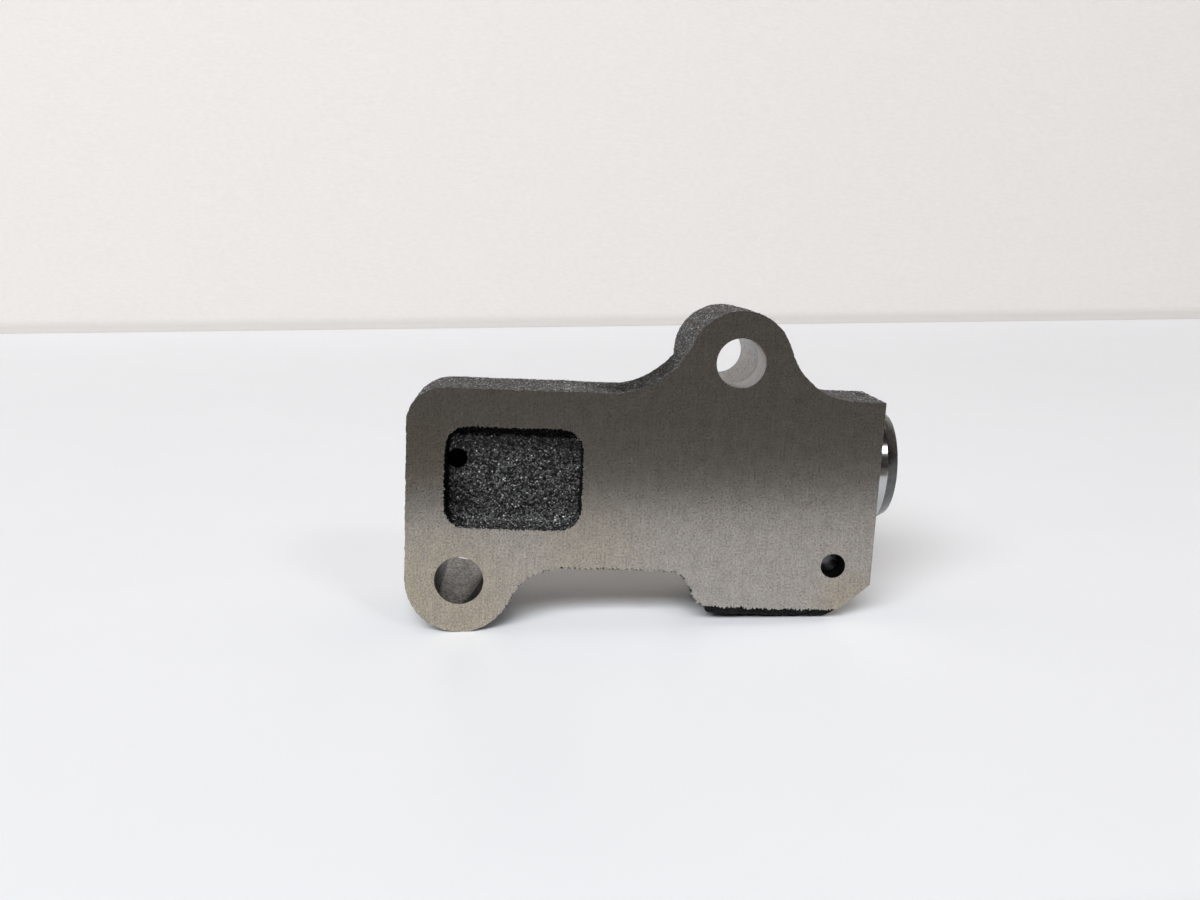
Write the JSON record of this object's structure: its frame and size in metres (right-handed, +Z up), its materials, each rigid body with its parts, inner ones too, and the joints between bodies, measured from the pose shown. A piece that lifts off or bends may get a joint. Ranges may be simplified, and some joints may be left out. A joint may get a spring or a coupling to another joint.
{
  "type": "timing chain tensioner",
  "caption": "Hydraulic timing chain tensioner: cast-iron body with bolt lugs and an oil pocket in its machined face, a spring-loaded hollow plunger, check valve and ratchet pawl.",
  "frame": {"origin": "centre of the upper bolt hole on the machined mounting face", "axes": "+X along the plunger bore towards the nose, +Y from the mounting face into the casting, +Z up"},
  "size_m": [0.0691, 0.0223, 0.0462],
  "materials": {
    "cast_iron": "ground mounting face, rough as-cast skin elsewhere",
    "ground_steel": "ground and polished",
    "pressed_steel": "bright pressed sheet",
    "spring_steel": "drawn wire",
    "ball_steel": "polished",
    "sintered_steel": "sintered, dark"
  },
  "bodies": {
    "body": {"housing": "cast_iron", "pawl_pin": "ground_steel", "valve_seat": "pressed_steel", "valve_cage": "pressed_steel", "valve_spring": "spring_steel", "plunger_spring": "spring_steel", "pawl_spring": "spring_steel"},
    "plunger": {"plunger": "ground_steel", "vent_disc": "pressed_steel"},
    "pawl": {"ratchet_pawl": "sintered_steel"},
    "check_ball": {"valve_ball": "ball_steel"}
  },
  "joints": [
    {"name": "plunger_slide", "type": "slide", "parent": "body", "child": "plunger", "axis": [1, 0, 0], "range_m": [0, 0.015], "deforming": ["plunger_spring"]},
    {"name": "pawl_pivot", "type": "hinge", "parent": "body", "child": "pawl", "pos_m": [0.01495, 0.01078, -0.02814], "axis": [0, 1, 0], "range_deg": [0, 12], "stiffness_Nm_per_rad": 0.02, "springref_deg": -11.46, "deforming": ["pawl_spring"]},
    {"name": "ball_lift", "type": "slide", "parent": "body", "child": "check_ball", "axis": [1, 0, 0], "range_m": [0, 0.0008], "stiffness_N_per_m": 150, "springref_m": -0.001, "deforming": ["valve_spring"]}
  ]
}
